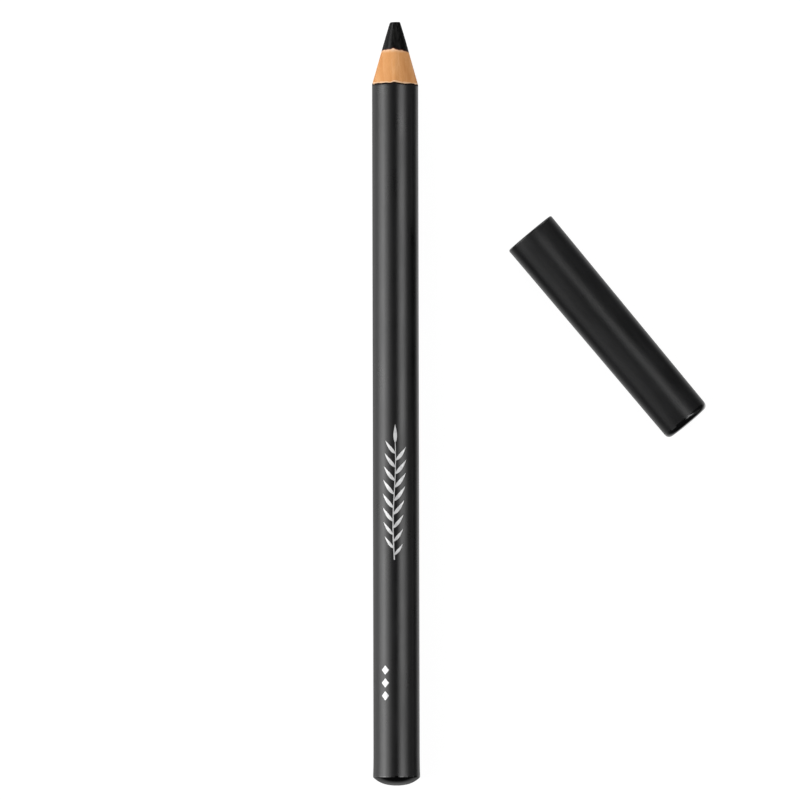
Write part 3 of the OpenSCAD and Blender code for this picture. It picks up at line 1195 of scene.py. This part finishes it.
@dataclass
class Cap:
    """The moulded cap, which lies on its tapered side next to the pencil."""

    pencil: Pencil
    lathe: Lathe
    length: float = 41.1 * MM
    wall: float = 0.64 * MM
    draft: float = 0.42
    lip_round: float = 0.3 * MM
    lead_in: float = 0.25 * MM
    end_round: float = 0.9 * MM
    crown: float = 0.15 * MM
    end_wall: float = 1.05 * MM
    clearance: float = 0.08 * MM
    rib_count: int = 6
    rib_height: float = 0.10 * MM
    rib_width: float = 0.50 * MM
    rib_start: float = 15.5 * MM
    rib_ramp: float = 1.2 * MM
    chamber_r: float = 3.2 * MM
    chamber_round: float = 0.6 * MM
    tip_room: float = 2.4 * MM
    aside: float = 22.23 * MM
    back: float = 35.1 * MM
    yaw: float = 39.7
    steps: int = 256

    @property
    def bore_r(self) -> float:
        """Radius of the bore, which takes the barrel with a small clearance."""
        return self.pencil.barrel_r + self.clearance

    @property
    def mouth_r(self) -> float:
        """Radius of the outside at the mouth."""
        return self.bore_r + self.wall

    @property
    def end_flat(self) -> float:
        """Depth at which the closed end's low crown starts."""
        return self.length - self.crown

    @property
    def edge_depth(self) -> float:
        """Depth at which the rounding of the closed end starts."""
        return self.end_flat - self.end_round

    @property
    def chamber_end(self) -> float:
        """Depth of the chamber's floor."""
        return self.end_flat - self.end_wall

    @property
    def seat(self) -> float:
        """Depth of the edge that the sharpened cone seats on."""
        p = self.pencil
        return self.chamber_end - self.tip_room - (self.chamber_r - p.tip_d / 2) / p.slope

    @property
    def axis(self) -> Axis:
        """The cap's middle line, from its mouth inwards."""
        yaw, draft = math.radians(self.yaw), math.radians(self.draft)
        along = Vector((math.sin(yaw) * math.cos(draft), -math.cos(yaw) * math.cos(draft),
                        -math.sin(draft)))
        p = self.pencil.axis.origin
        mouth = Vector((p.x + self.aside, p.y + self.pencil.length - self.back,
                        self.mouth_r * math.cos(draft)))
        up = (Vector((0, 0, 1)) - along * along.z).normalized()
        return Axis(mouth, along, up)

    def side_r(self, depth: float) -> float:
        """Radius of the drafted outside at a depth."""
        return self.mouth_r - depth * math.tan(math.radians(self.draft))

    def outline(self) -> list[Station]:
        """The whole section, from the middle of the crown round the lip to the chamber floor."""
        draft, tilt = math.radians(self.draft), self.draft
        edge_r = self.side_r(self.edge_depth) - self.end_round / math.cos(draft)
        lip_r = self.side_r(self.lip_round) - self.lip_round / math.cos(draft)
        dome = (edge_r**2 + self.crown**2) / (2 * self.crown)
        crown = rounded(self.length - dome, 0.0, dome, 0.0,
                        math.degrees(math.asin(edge_r / dome)), 12)
        corner = rounded(self.edge_depth, edge_r, self.end_round, 4.0, 90.0 - tilt, 16)
        lip = rounded(self.lip_round, lip_r, self.lip_round, 90.0 - tilt, 180.0, 12)
        floor = rounded(self.chamber_end - self.chamber_round, self.chamber_r - self.chamber_round,
                        self.chamber_round, 90.0, 0.0, 10)
        bore_end = self.seat - (self.bore_r - self.chamber_r)
        inner_lip = self.bore_r + self.lead_in
        side = sampled(self.side_r, self.lip_round, self.edge_depth, 16)
        return [*crown[:-1], *corner, *side[-2:0:-1], *lip, Station(0.0, inner_lip),
                Station(self.lead_in * 0.5, inner_lip - self.lead_in * 0.5),
                Station(self.lead_in, self.bore_r),
                *straight(Station(0.8 * MM, self.bore_r), Station(bore_end, self.bore_r), 12),
                Station(bore_end, self.bore_r), Station(self.seat, self.chamber_r),
                *straight(Station(self.seat + 0.4 * MM, self.chamber_r),
                          Station(self.chamber_end - self.chamber_round, self.chamber_r), 5),
                *floor, Station(self.chamber_end, self.chamber_r * 0.5),
                Station(self.chamber_end, 0.0)]

    def finish(self) -> MouldedCap:
        """The plastic, with its polish where the closed end's rounding starts."""
        axis = self.axis
        return MouldedCap("moulded_cap", tuple(axis.origin), tuple(axis.turn.to_euler()),
                          self.edge_depth)

    def shell(self) -> bpy.types.Object:
        """Builds the shell."""
        made = self.lathe.turn("cap_shell", self.outline(), self.axis, self.steps, self.finish(),
                               0.010 * MM, 7.0)
        return dress(made, self.finish(), ["cap"])

    def ribs(self) -> bpy.types.Object:
        """Builds the grip ribs in the bore, spread round it by Geometry Nodes."""
        m = Maker("grip_ribs")
        count = m.size("Rib Count", self.rib_count, "Int")
        bore, ramp = m.size("Bore Radius", self.bore_r), m.size("Ramp", self.rib_ramp)
        start, end = m.size("Rib Start", self.rib_start), m.size("Rib End", self.seat)
        high, wide = m.size("Rib Height", self.rib_height), m.size("Rib Width", self.rib_width)
        line = m.out("GeometryNodeCurvePrimitiveLine",
                     {"Start": m.vector(0.0, 0.0, start), "End": m.vector(0.0, 0.0, end)})
        rail = m.out("GeometryNodeResampleCurve", {"Curve": line, "Count": 25})
        length = m.out("GeometryNodeSplineParameter", key="Length")
        swell = m.maths("MINIMUM", (length + 0.02 * MM) / ramp, 1.0)
        rail = m.out("GeometryNodeSetCurveRadius", {"Curve": rail, "Radius": swell})
        ring = m.out("GeometryNodeCurvePrimitiveCircle", {"Resolution": 20, "Radius": 1.0})
        oval = m.out("GeometryNodeTransform",
                     {"Geometry": ring, "Scale": m.vector(high, wide * 0.5, 1.0)})
        rib = m.add("GeometryNodeCurveToMesh",
                    {"Curve": rail, "Profile Curve": oval, "Fill Caps": True})
        if "Scale" in rib.inputs:
            m.wire(swell, rib.inputs["Scale"])
        rib = m.out("GeometryNodeTransform",
                    {"Geometry": rib.outputs[0], "Translation": m.vector(bore, 0.0, 0.0)})
        angle = m.out("GeometryNodeInputIndex") * math.tau / count
        ribs = m.spread(m.line(count, 0.0, 0.0), rib, m.euler(m.vector(0.0, 0.0, angle)))
        m.end_on_axis(ribs)
        made = m.grow("cap_grip_ribs",
                      {**self.axis.placing, "Finish": self.finish().material()})
        return dress(made, self.finish())


# The foil ornament


@dataclass
class FoilOrnament:
    """A sprig of slim leaves and a row of lozenges, stamped in foil on the barrel."""

    pencil: Pencil
    thickness: float = 0.012 * MM
    lift: float = 0.0015 * MM
    sprig_middle: float = 48.5 * MM
    sprig_angle: float = -0.075
    sprig_length: float = 22.4 * MM
    stem_width: float = 0.20 * MM
    stem_bend: float = 0.22 * MM
    leaf_pairs: int = 8
    leaf_length: float = 3.05 * MM
    leaf_width: float = 0.60 * MM
    leaf_angle: float = 0.80
    leaf_curl: float = 0.7
    belly_at: float = 0.72
    least_width: float = 0.05
    stem_taper: float = 0.45
    end_leaf: float = 0.74
    tuck: float = 0.02 * MM
    row_middle: float = 17.0 * MM
    row_angle: float = -0.50
    lozenges: int = 3
    lozenge_length: float = 1.55 * MM
    lozenge_width: float = 1.35 * MM
    lozenge_pitch: float = 2.12 * MM
    weld: float = 1e-7

    def stamped(self, m: Maker, name: str, flat: Number, along: float,
                angle: float) -> bpy.types.Object:
        """Wraps a flat figure round the barrel, gives it a thickness and makes it a piece.

        Args:
            m: The tree under construction.
            name: The piece's name.
            flat: Flat geometry, with X round the barrel and Y along it.
            along: Where the figure's middle is along the barrel.
            angle: Where its middle is round the barrel, from up, in radians.

        Returns:
            The piece.
        """
        p = self.pencil
        radius = m.size("Barrel Radius", p.barrel_r + self.lift)
        middle = m.size("Middle", tuple(p.axis.point(along, 0.0, 0.0)), "Vector")
        thick = m.size("Foil Thickness", self.thickness)
        x, y, _ = m.place()
        turn = m.size("Middle Angle", angle) + x / radius
        bent = m.vector(m.maths("SINE", turn) * radius, y, m.maths("COSINE", turn) * radius)
        skin = m.moved(flat, m.out("ShaderNodeVectorMath", {0: bent, 1: middle},
                                   operation="ADD"))
        raised = m.out("GeometryNodeExtrudeMesh",
                       {"Mesh": skin, "Offset Scale": thick, "Individual": False}, mode="FACES")
        under = m.out("GeometryNodeFlipFaces", {"Mesh": skin})
        m.end(m.out("GeometryNodeMergeByDistance",
                    {"Geometry": m.joined(raised, under), "Distance": self.weld}))
        finish = SilverFoil("silver_foil")
        return dress(m.grow(name, {"Finish": finish.material()}), finish)

    def sprig(self) -> bpy.types.Object:
        """Builds the sprig: a bent stem with slim leaves in turn on both sides."""
        m = Maker("leaf_sprig")
        length = m.size("Sprig Length", self.sprig_length)
        width, bend = m.size("Stem Width", self.stem_width), m.size("Stem Bend", self.stem_bend)
        pairs = m.size("Leaf Pairs", self.leaf_pairs, "Int")
        leaf_l = m.size("Leaf Length", self.leaf_length)
        leaf_w = m.size("Leaf Width", self.leaf_width)
        leaf_a = m.size("Leaf Angle", self.leaf_angle)

        def bent(y: Number) -> Number:
            """The stem's sideways shift at a height."""
            return m.maths("SINE", y * math.tau / length) * bend

        def strip(columns: int, rows: int) -> tuple[Number, Number, Number]:
            """A unit grid, with its X and its height from 0 to 1."""
            grid = m.out("GeometryNodeMeshGrid",
                         {"Size X": 1.0, "Size Y": 1.0, "Vertices X": columns, "Vertices Y": rows},
                         key="Mesh")
            x, y, _ = m.place()
            return (grid, x, y + 0.5)

        grid, x, t = strip(3, 64)
        low = length * -0.5
        y = low + t * (length - leaf_l)
        thin = width * (1.0 - t * self.stem_taper)
        stem = m.moved(grid, m.vector(x * thin + bent(y), y, 0.0))
        grid, x, t = strip(5, 15)
        full = m.maths("SINE", m.maths("POWER", t, self.belly_at) * math.pi)
        full = m.maths("MAXIMUM", full, self.least_width)
        leaf = m.moved(grid, m.vector(x * full * leaf_w, t * leaf_l, 0.0))
        x, y, _ = m.place()
        curl = y / leaf_l * (y / leaf_l) * (leaf_w * self.leaf_curl)
        curled = {way: m.moved(leaf, m.vector(x + curl * way, y, 0.0)) for way in (1.0, -1.0)}
        pitch = (length - leaf_l * 1.5) / pairs
        sides = []
        for way, shift in ((1.0, 0.35), (-1.0, 0.85)):
            height = m.place()[1]
            points = m.moved(m.line(pairs, low + pitch * shift, pitch),
                             m.vector(bent(height), height, 0.0))
            share = height / length + 0.5
            scale = self.end_leaf + m.maths("SINE", share * math.pi) * (1.0 - self.end_leaf)
            turn = m.euler(m.vector(0.0, 0.0, leaf_a * -way))
            sides.append(m.spread(points, curled[-way], turn, scale))
        top = length * 0.5 - leaf_l
        last = m.out("GeometryNodeTransform",
                     {"Geometry": leaf, "Translation": m.vector(bent(top), top - self.tuck, 0.0)})
        return self.stamped(m, "foil_sprig", m.joined(stem, last, *sides), self.sprig_middle,
                            self.sprig_angle)

    def lozenge_row(self) -> bpy.types.Object:
        """Builds the short row of lozenges near the domed end."""
        m = Maker("lozenge_row")
        count = m.size("Lozenges", self.lozenges, "Int")
        pitch = m.size("Pitch", self.lozenge_pitch)
        size = m.vector(m.size("Lozenge Width", self.lozenge_width),
                        m.size("Lozenge Length", self.lozenge_length), 1.0)
        ring = m.out("GeometryNodeMeshCircle", {"Vertices": 4, "Radius": 0.5}, fill_type="NGON")
        fine = m.out("GeometryNodeSubdivideMesh", {"Mesh": ring, "Level": 3})
        shape = m.out("GeometryNodeTransform", {"Geometry": fine, "Scale": size})
        points = m.line(count, (count - 1.0) * pitch * -0.5, pitch)
        row = m.spread(points, shape, m.euler((0.0, 0.0, 0.0)))
        return self.stamped(m, "foil_lozenges", row, self.row_middle, self.row_angle)


# The studio


@dataclass(frozen=True)
class Softbox:
    """A soft lamp beside the table, at an angle from straight up towards its heading.

    The heading is the lamp's side of the table, in degrees from +X towards +Y, and shift moves
    it along its own length.
    """

    name: str
    angle: float
    width: float
    radiance: float
    length: float = 0.50
    shift: float = -0.05
    heading: float = 0.0
    distance: float = 1.0

    def build(self, target: Vector) -> bpy.types.Object:
        """Hangs the lamp so that it faces the target.

        Args:
            target: The point that it faces.

        Returns:
            The lamp.
        """
        turn, heading = math.radians(self.angle), math.radians(self.heading)
        side = Vector((math.cos(heading), math.sin(heading), 0.0))
        lengthwise = Vector((-side.y, side.x, 0.0))
        back = side * math.sin(turn) + Vector((0.0, 0.0, math.cos(turn)))
        lamp = bpy.data.lights.new(self.name, "AREA")
        lamp.shape = "RECTANGLE"
        lamp.size, lamp.size_y = self.width, self.length
        lamp.energy = self.radiance * 4.0 * self.width * self.length
        made = add_object(self.name, lamp)
        across = lengthwise.cross(back)
        made.matrix_world = Matrix.Translation(
            target + back * self.distance + lengthwise * self.shift
        ) @ Matrix((across, lengthwise, back)).transposed().to_4x4()
        made.visible_camera = False
        return made


@dataclass
class Studio:
    """The table, the lamps, the room's faint light and the camera."""

    pencil: Pencil
    floor_radius: float = 4.0
    white: float = 0.93
    mirrored_white: float = 0.90
    # The glow that reflections see is painted: it dims to nearly dark at shallow views, and close
    # to the barrel it drops to a small share of itself as a painted contact shadow.
    painted_dark_glow: float = 0.03
    steep: float = 0.20
    shallow: float = 0.60
    painted_shadow_share: float = 0.12
    painted_shadow_reach: float = 7.0 * MM
    polish: float = 0.08
    table_ior: float = 2.1
    shade_colour: Colour = (0.16, 0.16, 0.16)
    bounce_colour: Colour = (0.80, 0.80, 0.80)
    room: Colour = (0.03, 0.03, 0.031)
    lens: float = 342.68
    camera_distance: float = 1261.2 * MM
    camera_tilt: float = 1.6785
    camera_roll: float = 0.1254
    target_x: float = -23.007 * MM
    target_y: float = 0.544 * MM
    lamps: tuple[Softbox, ...] = (
        Softbox("left_low", -80.0, 0.281, 3.5),
        Softbox("left_key", -64.0, 0.281, 5.3),
        Softbox("left_fill", -48.0, 0.281, 2.75),
        Softbox("left_wing", -34.0, 0.210, 1.1),
        Softbox("left_edge", -19.0, 0.317, 0.3),
        Softbox("right_strip", 31.0, 0.462, 3.1, 0.25, 0.075),
        Softbox("right_wide", 32.0, 0.890, 1.4, 0.375, 0.0125),
        Softbox("right_near", 24.0, 0.281, 1.7, 0.25, -0.175),
        Softbox("right_low", 65.0, 0.536, 0.25),
        Softbox("right_floor", 88.0, 0.07, 0.6),
        Softbox("left_floor", -88.0, 0.07, 1.2),
        Softbox("point_fill", 78.0, 0.30, 4.6, 1.00, -0.10, 90.0),
        Softbox("corner_fill", 66.0, 0.40, 3.0, 0.45, 0.0, 150.0),
        Softbox("cap_fill", 72.0, 0.60, 0.55, 0.50, 0.0, 220.0),
    )

    def distance_from_barrel(self, s: Sheet) -> Number:
        """How far a place on the table is from the strip of it that the barrel covers."""
        x, y, _ = s.parts(s.out("ShaderNodeTexCoord", key="Object"))
        origin, radius = self.pencil.axis.origin, self.pencil.barrel_r
        aside = s.maths("MAXIMUM", s.maths("ABSOLUTE", x - origin.x) - radius, 0.0)
        behind = s.maths("MAXIMUM", origin.y - y, 0.0)
        return s.maths("SQRT", aside * aside + behind * behind)

    def floor(self) -> bpy.types.Object:
        """Builds the pale polished table. The camera sees it as white with its real shadow;
        reflections see a painted glow, with a painted shadow next to the barrel and painted
        darkness at shallow angles.
        """
        mesh = bpy.data.meshes.new("table")
        work = bmesh.new()
        bmesh.ops.create_circle(work, cap_ends=True, segments=96, radius=self.floor_radius)
        work.to_mesh(mesh)
        work.free()
        made = add_object("table", mesh)
        material = bpy.data.materials.new("pale_table")
        material.use_nodes = True
        s = Sheet(material.node_tree)
        path = s.add("ShaderNodeLightPath")
        plain = s.out("ShaderNodeBsdfDiffuse", {"Color": (*self.bounce_colour, 1.0)})
        shade = s.out("ShaderNodeBsdfDiffuse", {"Color": (*self.shade_colour, 1.0)})
        white = s.out("ShaderNodeEmission", {"Strength": self.white})
        seen = s.out("ShaderNodeAddShader", {0: shade, 1: white})
        grazing = s.out("ShaderNodeLayerWeight", {"Blend": 0.5}, key="Facing")
        # Painted darkness in reflections: the mirrored glow fades from the white to nearly dark as
        # the view of the table grows shallow.
        pale = s.out("ShaderNodeMapRange",
                     {"Value": grazing, "From Min": self.steep, "From Max": self.shallow,
                      "To Min": self.mirrored_white, "To Max": self.painted_dark_glow})
        # Painted shadow: next to the barrel and behind its blunt end the mirrored glow drops to a
        # small share of itself, standing in for the contact shadow.
        near = s.out("ShaderNodeMapRange",
                     {"Value": self.distance_from_barrel(s), "From Min": 0.0,
                      "From Max": self.painted_shadow_reach, "To Min": self.painted_shadow_share, "To Max": 1.0})
        gloss = s.out("ShaderNodeBsdfGlossy", {"Roughness": self.polish})
        mirror = s.out("ShaderNodeMixShader",
                       {0: s.out("ShaderNodeFresnel", {"IOR": self.table_ior}),
                        1: s.out("ShaderNodeEmission", {"Strength": pale * near}), 2: gloss})
        bright = s.maths("MAXIMUM", path.outputs["Is Glossy Ray"],
                         path.outputs["Is Transmission Ray"])
        both = s.out("ShaderNodeMixShader", {0: bright, 1: plain, 2: mirror})
        both = s.out("ShaderNodeMixShader", {0: path.outputs["Is Camera Ray"], 1: both, 2: seen})
        s.add("ShaderNodeOutputMaterial", {"Surface": both})
        mesh.materials.append(material)
        return made

    def world(self) -> None:
        """Gives the room its faint even light and the plain view settings."""
        world = bpy.data.worlds.new("room")
        world.use_nodes = True
        s = Sheet(world.node_tree)
        light = s.out("ShaderNodeBackground", {"Color": (*self.room, 1.0), "Strength": 1.0})
        s.add("ShaderNodeOutputWorld", {"Surface": light})
        bpy.context.scene.world = world
        bpy.context.scene.view_settings.view_transform = "Standard"

    def camera(self) -> bpy.types.Object:
        """Sets the camera up over the pencil, with a long lens, as the picture was taken."""
        tilt, roll = math.radians(self.camera_tilt), math.radians(self.camera_roll)
        back = Vector((0.0, -math.sin(tilt), math.cos(tilt)))
        up = Vector((0.0, math.cos(tilt), math.sin(tilt)))
        right = Vector((1.0, 0.0, 0.0))
        level = right * math.cos(roll) - up * math.sin(roll)
        upright = up * math.cos(roll) + right * math.sin(roll)
        data = bpy.data.cameras.new("camera")
        data.lens, data.sensor_width = self.lens, 36.0
        data.clip_start, data.clip_end = 0.05, 20.0
        made = add_object("camera", data)
        target = Vector((self.target_x, self.target_y, self.pencil.rim_r))
        made.matrix_world = Matrix.Translation(target + back * self.camera_distance) @ Matrix(
            (level, upright, back)
        ).transposed().to_4x4()
        bpy.context.scene.camera = made
        return made

    def build(self) -> None:
        """Builds the whole studio."""
        self.floor()
        self.world()
        target = Vector((0.0, 0.0, self.pencil.rim_r))
        for lamp in self.lamps:
            lamp.build(target)
            LOG.info("lamp %s at %.0f degrees from up", lamp.name, lamp.angle)
        self.camera()


def main() -> None:
    """Builds and dresses each sub-assembly in turn, then the studio."""
    logging.basicConfig(level=logging.INFO, format="%(name)s: %(message)s")
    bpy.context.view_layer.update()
    pencil = Pencil()
    point = SharpenedPoint(pencil)
    point.core()
    point.glue_line()
    for half in Side:
        point.casing(half)
    coats = Coats(pencil)
    coats.primer()
    coats.lacquer()
    lathe = Lathe()
    DippedEnd(pencil, lathe).build()
    cap = Cap(pencil, lathe)
    cap.shell()
    cap.ribs()
    foil = FoilOrnament(pencil)
    foil.sprig()
    foil.lozenge_row()
    Studio(pencil).build()


if __name__ == "__main__":
    main()
